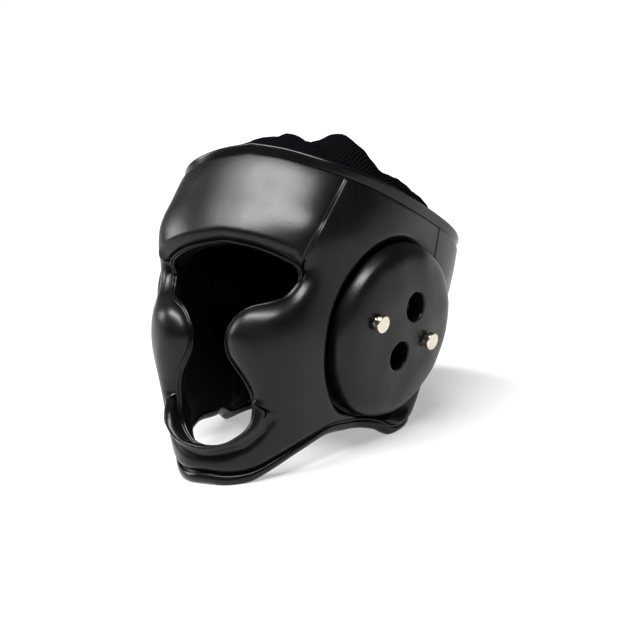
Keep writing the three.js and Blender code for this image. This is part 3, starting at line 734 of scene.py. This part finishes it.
# Chin roll
# A raised roll of leather over foam round the lower half of the mouth, sewn down on the chin
# in a soft valley, with both ends tucked in at the cheeks.
CHIN_ROLL = columns(
    "mouth mouth_z angle z",
    (20.6, -134.9, 27.6, -138.4), (20.4, -146, 27.4, -148.4), (17.4, -155.5, 23.6, -157.4),
    (9.6, -164.6, 17, -166.4), (0, -166.4, 0, -173.6),
)
MOUTH_ROUND = 6.0
ROLL_ROWS = mirrored(CHIN_ROLL, ["mouth", "angle"])
ROLL_MIDDLE = len(CHIN_ROLL["z"]) - 1


def chin_place(steps):
    """Where bands of the chin roll run, from the mouth at 0 to the chin at 1."""
    row = along(ROLL_ROWS, "step", steps)

    def place(t):
        angle = lerp(row["mouth"][:, None], row["angle"][:, None], t)
        return angle, lerp(row["mouth_z"][:, None], row["z"][:, None], t)

    return place


def chin_roll():
    """The roll lies over the guard's edge, low at its two ends, where the leather puckers."""
    proud = 4.2
    end_proud = 0.1
    chin_round = 1.0
    end_round = 1.2
    row_length = 12.0
    skirt = 0.16
    lift = 0.2
    end_sunk = 0.8
    skirt_sunk = 1.5
    pucker = {"high": 0.08, "long": 4.6, "fade": 10.0}
    fades = {"skirt": 16.0, "swell": 22.0, "lift": 9.0}
    ends = end_round * edge_rows(7) / row_length
    whole = 2.0 * ROLL_MIDDLE
    steps = np.unique(np.concatenate([ends, np.linspace(0, whole, 161), whole - ends]).round(5))
    from_end = (np.minimum(steps, whole - steps) * row_length)[:, None]
    lap = 1 + skirt * smoothstep(from_end, 0, fades["skirt"])
    place = chin_place(steps)
    width = band_width(place, lap)
    stops = edge_stops(width, MOUTH_ROUND, chin_round, flats=18)
    width = width[:, None]
    t = stops / width * lap
    angle, z = place(t)
    swell = proud * lerp(end_proud, 1, smoothstep(from_end, 0, fades["swell"]))
    valley = chin_crease((t - 1) * width / lap) * smoothstep(t, 0.5, 1.0)
    hump = np.sin(np.pi * np.minimum(t / lap, 1)) ** 2
    hump = np.where(t < 0.5 * lap, lerp(0.7, 1, hump), hump)
    laid = lerp(-end_sunk, lift, smoothstep(from_end, 0, fades["lift"]))
    bulge = swell * hump - valley + laid - skirt_sunk * smoothstep(t, 0.85 * lap, lap)
    wave = np.sin(2 * np.pi * from_end / pucker["long"])
    ripple = pucker["high"] * wave * np.exp(-from_end / pucker["fade"])
    drop = np.maximum(round_drop(stops, MOUTH_ROUND), round_drop(width - stops, chin_round))
    drop = np.maximum(drop, round_drop(from_end, end_round))
    soft = uneven(skin(angle, z), size=30.0, high=0.7)
    soft = soft + uneven(skin(angle, z), size=14.0, high=0.15) * smoothstep(1 - t, 0.0, 0.4)
    outer = skin(angle, z, bulge + ripple * smoothstep(1 - t, -0.1, 0.3) - drop + soft)
    inner = skin(angle, z, drop - CHIN_WALL)
    return patch("chin_roll_cover", outer, inner)


chin = chin_roll()
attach(chin, "root")
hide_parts("chin_roll")

# Piping
# Bound edges of thin black leather: a band that leans out along the top rim, a roll with a sewn
# groove along the lower edge, and two fine cords side by side round the face. Glossy welts of
# the upright seams run up under the rim and are sewn in with it.
RIM_PIPE = {"high": 9.6, "wide": 9.0, "inset": 5.0, "sunk": 0.3, "square": 4.0, "lean": 0.3}
HEM_PIPE = {"high": 9.0, "wide": 9.0, "inset": 4.7, "sunk": 0.6, "square": 2.3, "lean": 0.0}
FACE_PIPE = {"cord": 0.95, "apart": 1.1, "sunk": 0.3,
             "depth": 7.6, "cheek_depth": 11.0, "chin_depth": 10.0}
HEM_GROOVE = {"at": 34, "deep": 0.26, "wide": 10}
WELT = {"radius": 0.5, "sunk": 0.2}
welt_leather = black_leather(
    "welt_leather",
    dark=(0.0024, 0.0024, 0.0027),
    worn=(0.0048, 0.0048, 0.0054),
    rough=(0.12, 0.18),
    grain=0.03,
    shine=0.6,
)
piping_leather = black_leather(
    "piping_leather",
    dark=(0.0018, 0.0018, 0.002),
    worn=(0.0036, 0.0036, 0.0038),
    rough=(0.2, 0.28),
    grain=0.06,
    shine=0.25,
)


def unit(vectors):
    return vectors / np.linalg.norm(vectors, axis=-1, keepdims=True)


def square_to(vectors, way):
    return vectors - way * (vectors * way).sum(-1, keepdims=True)


def piped_section(sizes, grooves, sides=72):
    """Points round an oval or boxy section that may lean out at its top, with grooves round it."""
    a = 2 * np.pi * (np.arange(sides) + 0.5) / sides
    shrink = np.ones(sides)
    for groove in grooves:
        off = np.angle(np.exp(1j * (a - math.radians(groove["at"]))))
        shrink -= groove["deep"] * np.exp(-((off / math.radians(groove["wide"])) ** 2))
    power = sizes["square"]
    reach = (np.abs(np.cos(a)) ** power + np.abs(np.sin(a)) ** power) ** (-1 / power) * shrink
    out, up = sizes["wide"] / 2 * np.cos(a) * reach, sizes["high"] / 2 * np.sin(a) * reach
    return np.stack([out + sizes["lean"] * up, up], -1)


def ringed(rows, sides):
    """Numbers of the corners of rings, those beside them, and the faces from ring to ring."""
    index = np.arange(rows * sides).reshape(rows, sides)
    beside = np.roll(index, -1, 1)
    return index, beside, quads(index[:-1], beside[:-1], beside[1:], index[1:])


def cord(points, radius, sides=12):
    """A round cord along points in the head frame, closed at both ends."""
    run = unit(np.gradient(points, axis=0))
    sideways = unit(square_to(points * (1, 1, 0), run))
    upright = np.cross(run, sideways)
    a = 2 * np.pi * np.arange(sides) / sides
    way = np.cos(a)[:, None] * sideways[:, None] + np.sin(a)[:, None] * upright[:, None]
    rings = points[:, None] + radius * way
    index, _, faces = ringed(len(points), sides)
    return rings.reshape(-1, 3), faces.tolist() + [index[0].tolist(), index[-1].tolist()]


def tube(name, centres, sideways, upright, section, welts=()):
    """A closed loop of piping, with the seams' welts that are sewn in under it."""
    out, up = section[None, :, :1], section[None, :, 1:]
    rings = centres[:, None] + out * sideways[:, None] + up * upright[:, None]
    count, sides = rings.shape[:2]
    index = np.arange(count * sides).reshape(count, sides)
    after = np.roll(index, -1, 0)
    faces = quads(index, after, np.roll(after, -1, 1), np.roll(index, -1, 1)).tolist()
    corners = rings.reshape(-1, 3)
    for points in welts:
        more, sides_of = cord(points, WELT["radius"])
        faces += [[k + len(corners) for k in face] for face in sides_of]
        corners = np.concatenate([corners, more])
    piece = mesh_piece(name, stand(corners), faces, [piping_leather, welt_leather])
    slots = (np.arange(len(faces)) >= count * sides).astype(int)
    piece.data.polygons.foreach_set("material_index", slots)
    return piece


def seam_welts():
    """Routes of the thin welts in the four upright seams between the pads."""
    sunk = WELT["sunk"]
    front_z = np.linspace(40, -30, 70)
    rear_z = np.linspace(48, -102, 110)
    front = skin(front_seam(front_z) - SEAM_GAP / 2, front_z, -sunk)
    rear = press_seats(skin(rear_seam(rear_z) + SEAM_GAP / 2, rear_z, -sunk), CLEAR + sunk)
    return [points * (side, 1, 1) for points in (front, rear) for side in (1, -1)]


def edge_piping(name, height, sign, sizes, grooves, welts=()):
    angle = np.linspace(0, 360, 361)[:-1]
    z = height(angle) + sign * (sizes["high"] / 2 - sizes["sunk"])
    centres = skin(angle, z, -sizes["inset"])
    sideways = unit(skin(angle, z, 1.0) - skin(angle, z, -1.0))
    upright = np.broadcast_to([0.0, 0.0, 1.0], sideways.shape)
    return tube(name, centres, sideways, upright, piped_section(sizes, grooves), welts)


def twin_section(radius, apart, sides=40):
    """Points round two cords sewn side by side."""
    a = 2 * np.pi * (np.arange(sides) + 0.5) / sides
    pinch = 0.4
    bulge = np.sqrt(np.maximum(radius**2 - (apart * np.sin(a)) ** 2, pinch**2))
    reach = apart * np.abs(np.cos(a)) + bulge
    return np.stack([reach * np.cos(a), reach * np.sin(a)], -1)


def smooth_loop(points, count):
    """Even rows along a closed centripetal curve; the first three columns are the place."""
    before, after, beyond = (np.roll(points, k, 0) for k in (1, -1, -2))

    def knot(a, b):
        return np.sqrt(np.linalg.norm((b - a)[:, :3], axis=1))[:, None]

    d0, d1, d2 = knot(before, points), knot(points, after), knot(after, beyond)
    leave = ((points - before) / d0 - (after - before) / (d0 + d1) + (after - points) / d1) * d1
    reach = ((after - points) / d1 - (beyond - points) / (d1 + d2) + (beyond - after) / d2) * d1
    t = np.linspace(0, 1, 24, endpoint=False)[None, :, None]
    dense = bend_between(points[:, None], leave[:, None], after[:, None], reach[:, None], t)
    dense = dense.reshape(-1, points.shape[1])
    dense = np.concatenate([dense, dense[:1]])
    length = np.concatenate([[0], np.cumsum(np.linalg.norm(np.diff(dense[:, :3], axis=0), axis=1))])
    even = np.linspace(0, length[-1], count, endpoint=False)
    return np.stack([np.interp(even, length, column) for column in dense.T], -1)


def face_piping():
    """Two thin cords side by side on the rolled shoulder of each free edge round the face."""

    def shoulder(edge, ahead, outward, depth, radius, wide):
        rise = max(radius - depth, 0.0) / radius
        run = math.sqrt(1 - rise**2)
        normal = unit(ahead * run / wide + outward * rise / radius)
        return edge - ahead * wide * (1 - run) + normal * (FACE_PIPE["cord"] - FACE_PIPE["sunk"]), normal

    def on_band(bands, steps, depth, radius, wide):
        def at(rows, t):
            angle, z = bands(rows)(np.full((1, 1), t))
            return skin(angle[:, 0], z[:, 0], -depth)

        run = unit(at(steps + 0.1, 0.0) - at(steps - 0.1, 0.0))
        ahead = unit(square_to(at(steps, 0.0) - at(steps, 0.08), run))
        edge = at(steps, 0.0)
        outward = unit(square_to(square_to(unit(edge * (1, 1, 0)), ahead), run))
        return shoulder(edge, ahead, outward, depth, radius, wide)

    depth = FACE_PIPE["depth"]
    brow_end = 0.94
    across = np.linspace(0, brow_end, 6)
    cheek_steps = np.arange(3.8, 12.81, 0.6)
    chin_steps = np.arange(0.5, ROLL_MIDDLE, 0.6)
    brow_angle = across * (front_seam(BROW["z"][-1]) - SEAM_GAP)
    brow_edge = skin(brow_angle, along(BROW, "across", across)["z"], -depth)
    brow_ahead = np.broadcast_to([0.0, 0.0, -1.0], brow_edge.shape)
    cheek_edge = (FACE_PIPE["cheek_depth"], CHEEK_ROLL, CHEEK_WIDE)
    chin_edge = (FACE_PIPE["chin_depth"], MOUTH_ROUND, MOUTH_ROUND)
    parts = [
        shoulder(brow_edge, brow_ahead, unit(brow_edge * (1, 1, 0)), depth, ROLL, BROW_WIDE),
        on_band(guard_place, cheek_steps, *cheek_edge),
        on_band(chin_place, chin_steps, *chin_edge),
    ]
    bottom = on_band(chin_place, np.array([float(ROLL_MIDDLE)]), *chin_edge)

    def loop(k):
        left = np.concatenate([part[k] for part in parts])
        return np.concatenate([left, bottom[k], (left[1:] * (-1, 1, 1))[::-1]])

    route = smooth_loop(np.concatenate([loop(0), loop(1)], 1), 480)
    curve, lean = route[:, :3], route[:, 3:]
    run = unit(np.roll(curve, -1, 0) - np.roll(curve, 1, 0))
    upright = unit(square_to(lean, run))
    sideways = np.cross(upright, run)
    section = twin_section(FACE_PIPE["cord"], FACE_PIPE["apart"])
    return tube("face_binding", curve, sideways, upright, section)


rim = edge_piping("rim_binding", rim_height, 1, RIM_PIPE, [], seam_welts())
hem = edge_piping("hem_binding", hem_height, -1, HEM_PIPE, [HEM_GROOVE])
face_binding = face_piping()
for binding, node in ((rim, "rim_piping"), (hem, "hem_piping"), (face_binding, "face_piping")):
    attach(binding, "root")
    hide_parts(node)

# Crown
# A slack cap of thin ribbed stretch cloth over the top of the head, bunched in soft folds, with its
# hem tucked inside the rim piping.
CROWN = {"wall": 1.6, "inset": 12.5, "hem": 6.0, "rise": 34.0, "flat": 4.0, "slump": 3.5}
CROWN_FOLDS = columns(
    "x y along across turn high",
    (-38, -80, 46, 13, -3, 8), (34, -54, 22, 11, 8, 21), (64, -28, 30, 9, 52, 6),
    (80, 8, 20, 13, 78, 15), (8, 0, 34, 11, 25, 12), (-55, -18, 34, 11, 62, 12),
    (-28, 44, 34, 12, -24, 12), (40, 52, 30, 12, 18, 11), (2, -32, 40, 8, 8, -12),
    (-8, 22, 44, 8, -4, -10),
)


def crown_folds(x, y):
    height = np.zeros_like(x)
    for fx, fy, length, width, turn, high in zip(*CROWN_FOLDS.values()):
        c, s = math.cos(math.radians(turn)), math.sin(math.radians(turn))
        u = ((x - fx) * c + (y - fy) * s) / length
        v = ((y - fy) * c - (x - fx) * s) / width
        height += high * np.exp(-u * u - v * v)
    return height


def crown_cloth():
    """Thin black knitted cloth with fine ribs."""
    material, nodes, links, shader = new_material("crown_cloth")
    shader.inputs["Roughness"].default_value = 0.9
    shader.inputs["Specular IOR Level"].default_value = 0.0
    ribs = add_texture(nodes, links, "Wave", 150.0, Distortion=4.0)
    ribs.inputs["Detail Scale"].default_value = 0.6
    yarn = add_texture(nodes, links, "Noise", 900.0)
    tint = add_tint(nodes, (0.0008, 0.0008, 0.0011), (0.004, 0.004, 0.0049))
    links.new(ribs.outputs["Fac"], tint.inputs["Fac"])
    links.new(tint.outputs["Color"], shader.inputs["Base Color"])
    fuzz = add_bump(nodes, 0.3, 0.0004)
    links.new(yarn.outputs["Fac"], fuzz.inputs["Height"])
    relief = add_bump(nodes, 0.6, 0.0006)
    links.new(ribs.outputs["Fac"], relief.inputs["Height"])
    links.new(fuzz.outputs["Normal"], relief.inputs["Normal"])
    links.new(relief.outputs["Normal"], shader.inputs["Normal"])
    return material


def crown_cover():
    """The cap in rings from its hem to its top, with an outer and an inner face."""
    sides = 240
    angle = np.arange(sides) * 360 / sides
    share = np.concatenate([[1, 0.995, 0.99, 0.98], np.linspace(0.97, 0.02, 84)])[:, None]
    foot = rim_height(angle) + CLEAR

    def cap(under):
        edge = skin(angle, foot, -CROWN["inset"] - under)
        x, y = edge[:, 0] * share, edge[:, 1] * share
        edge_fade = smoothstep(1 - share, 0, 0.03)
        swell = CROWN["hem"] * edge_fade + CROWN["rise"] * (1 - share ** CROWN["flat"])
        fade = smoothstep(1 - share, 0.02, 0.25)

        def heap(dx, dy):
            place = np.stack([x + dx, y + dy, np.zeros_like(x)], -1)
            bunched = uneven(place, size=17.0, high=5.0) + uneven(place, size=9.0, high=1.6)
            return crown_folds(x + dx, y + dy) + bunched

        slope_x, slope_y = heap(1, 0) - heap(-1, 0), heap(0, 1) - heap(0, -1)
        slump = CROWN["slump"] * fade / (1 + np.hypot(slope_x, slope_y))
        z = foot + swell + fade * heap(0, 0) - under * edge_fade
        return np.stack([x - slump * slope_x, y - slump * slope_y, z], -1)

    outer, inner = cap(0.0), cap(CROWN["wall"])
    inside = len(share) * sides
    index, beside, top = ringed(len(share), sides)
    hem_band = quads(index[0], index[0] + inside, beside[0] + inside, beside[0])
    tops = [outer[-1].mean(0), inner[-1].mean(0)]
    corners = np.concatenate([outer.reshape(-1, 3), inner.reshape(-1, 3), tops])
    faces = np.concatenate([top, top[:, ::-1] + inside, hem_band]).tolist()
    for a, b in zip(index[-1].tolist(), beside[-1].tolist()):
        faces.append([a, b, 2 * inside])
        faces.append([b + inside, a + inside, 2 * inside + 1])
    return mesh_piece("crown_cap", stand(corners), faces, [crown_cloth()])


crown = crown_cover()
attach(crown, "root")
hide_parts("crown_cover")

# Ear cups
# Thick round foam pads under leather, domed outside and hollow over the ear, with two sound holes
# whose leather is turned in. Each sits in the seat pressed into the pads behind it.
EAR_HOLE = {"radius": 11.2, "reach": 19.5, "back": -1.2, "up": 3.7, "turned": 1.4}
CUP_TOP = columns(
    "r h",
    (0, 1), (0.35, 0.985), (0.6, 0.94), (0.78, 0.86), (0.88, 0.765), (0.95, 0.625),
    (0.985, 0.46), (1, 0.25),
)


def cup_height(radius):
    return EAR["height"] * along(CUP_TOP, "r", radius / EAR["radius"])["h"]


def ear_axes(side):
    """Middle of an ear cup, its own axes and the line of its studs."""
    centre, face, studs, holes = ear_seat(side)
    return centre, np.stack([np.cross(face, holes), face, holes]), studs


def turned(profile, sides):
    """Closed body turned from a profile of radius and height that starts and ends on the axis."""
    a = 2 * np.pi * np.arange(sides) / sides
    ring = profile[1:-1]
    corners = np.stack([
        ring[:, None, 0] * np.cos(a),
        np.broadcast_to(ring[:, None, 1], (len(ring), sides)),
        ring[:, None, 0] * np.sin(a),
    ], -1).reshape(-1, 3)
    corners = np.concatenate([corners, [[0, profile[0, 1], 0]], [[0, profile[-1, 1], 0]]])
    index, beside, faces = ringed(len(ring), sides)
    faces = faces.tolist()
    top, bottom = len(corners) - 2, len(corners) - 1
    for k in range(sides):
        faces.append([top, int(index[0, k]), int(beside[0, k])])
        faces.append([bottom, int(beside[-1, k]), int(index[-1, k])])
    return corners, faces


def ear_cup(side, name):
    """A cup turned from its profile, then bored, with the leather turned in at both holes."""
    sides = 240
    edge = 0.1
    hollow_corner = 5.0
    hollow_rise = 1.0
    hole_spare = 0.1
    centre, axes, line = ear_axes(side)
    hole_x = EAR_HOLE["back"] * np.sign(axes[0] @ line)
    radius = EAR["radius"]
    face_part = np.linspace(0, 1 - edge, 90)
    edge_part = 1 - edge * np.cos(np.linspace(0.05, np.pi / 2, 18))
    top = np.concatenate([face_part, edge_part]) * radius
    dome = np.stack([top, cup_height(top)], -1)
    bend = np.linspace(0.1, np.pi / 2, 10)
    low = CUP_TOP["h"][-1] * EAR["height"]
    under = np.stack([radius - edge * radius * (1 - np.cos(bend)), low * (1 - np.sin(bend))], -1)
    hollow, depth = EAR["hollow"], EAR["hollow_depth"]
    inside = np.array([
        [hollow, 0.0],
        [hollow, depth - hollow_corner],
        [hollow - hollow_corner, depth - hollow_rise],
        [0.0, depth],
    ])
    corners, faces = turned(np.concatenate([dome, under, inside]), sides)
    outside = np.concatenate([np.arange((len(dome) - 1) * sides), [len(corners) - 2]])
    for way in (1, -1):
        hole_z = EAR_HOLE["up"] + way * EAR_HOLE["reach"]
        away = np.hypot(corners[outside, 0] - hole_x, corners[outside, 2] - hole_z)
        corners[outside, 1] -= round_drop(np.maximum(away - EAR_HOLE["radius"], 0), EAR_HOLE["turned"])
    corners[outside, 1] += uneven(corners[outside] + side, size=22.0, high=0.8)
    cup = mesh_piece(name, stand(centre + corners @ axes), faces, [pad_leather, lining])
    middle = centre + axes[0] * hole_x + axes[2] * EAR_HOLE["up"]
    places = [(middle + axes[2] * way * EAR_HOLE["reach"], axes[1]) for way in (1, -1)]
    bore(cup, EAR_HOLE["radius"] + hole_spare, 3 * EAR["height"], places)
    return cup


for side, name in ((1, "left"), (-1, "right")):
    cup = ear_cup(side, "ear_pad_" + name)
    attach(cup, "root")
    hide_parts("ear_cup_" + name)

# Studs
# Pale polished nickel posts through each ear cup, two on each side.
# A round head stands off the leather on a neck that narrows in its middle.
STUD = {
    "reach": 35.0, "back": -7.0, "up": 2.6, "neck": 4.8, "waist": 0.5, "waist_at": 1.5, "sunk": 3.0,
    "head": 6.8, "head_high": 4.0, "head_round": 1.1, "under_round": 0.5, "stand_off": 1.8,
}
STUD_DOME = columns("r h", (0, 0.35), (0.4, 0.28), (0.65, 0.12))


def pale_nickel():
    material, nodes, links, shader = new_material("stud_nickel")
    shader.inputs["Metallic"].default_value = 1.0
    wear = add_texture(nodes, links, "Noise", 260.0)
    tint = add_tint(nodes, (0.58, 0.53, 0.43), (0.72, 0.67, 0.57))
    links.new(wear.outputs["Fac"], tint.inputs["Fac"])
    links.new(tint.outputs["Color"], shader.inputs["Base Color"])
    rough = add_range(nodes, 0.14, 0.3)
    links.new(wear.outputs["Fac"], rough.inputs["Value"])
    links.new(rough.outputs["Result"], shader.inputs["Roughness"])
    return material


nickel = pale_nickel()


def stud(name, centre, axes, foot):
    """A stud turned from its profile, with its foot at a place on the cup's face."""
    head, neck, edge, under = (STUD[k] for k in ("head", "neck", "head_round", "under_round"))
    base = cup_height(math.hypot(*foot) - neck) + CLEAR
    top = base + STUD["stand_off"] + STUD["head_high"]
    low = top - STUD["head_high"]
    bend = np.linspace(0, np.pi / 2, 7)
    dome = np.stack([head * STUD_DOME["r"], top + STUD_DOME["h"]], -1)
    upper_edge = np.stack([head - edge + edge * np.sin(bend), top - edge + edge * np.cos(bend)], -1)
    under_edge = np.stack([head - under + under * np.cos(bend), low + under - under * np.sin(bend)], -1)
    post = np.array([
        [neck, low],
        [neck - STUD["waist"], base + STUD["waist_at"]],
        [neck, base - STUD["sunk"]],
        [0.0, base - STUD["sunk"]],
    ])
    corners, faces = turned(np.concatenate([dome, upper_edge, under_edge, post]), 48)
    corners = corners + (foot[0], 0.0, foot[1])
    piece = mesh_piece(name, stand(centre + corners @ axes), faces, [nickel])
    piece.data.set_sharp_from_angle(angle=math.radians(55))
    return piece


for side, name in ((1, "left"), (-1, "right")):
    centre, axes, line = ear_axes(side)
    for way, reach in (("front", -STUD["reach"]), ("rear", STUD["reach"])):
        foot = ((STUD["back"] + reach) * np.sign(axes[0] @ line), STUD["up"])
        pin = stud("stud_head_" + name + "_" + way, centre, axes, foot)
        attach(pin, "root")
        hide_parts("stud_" + name + "_" + way)
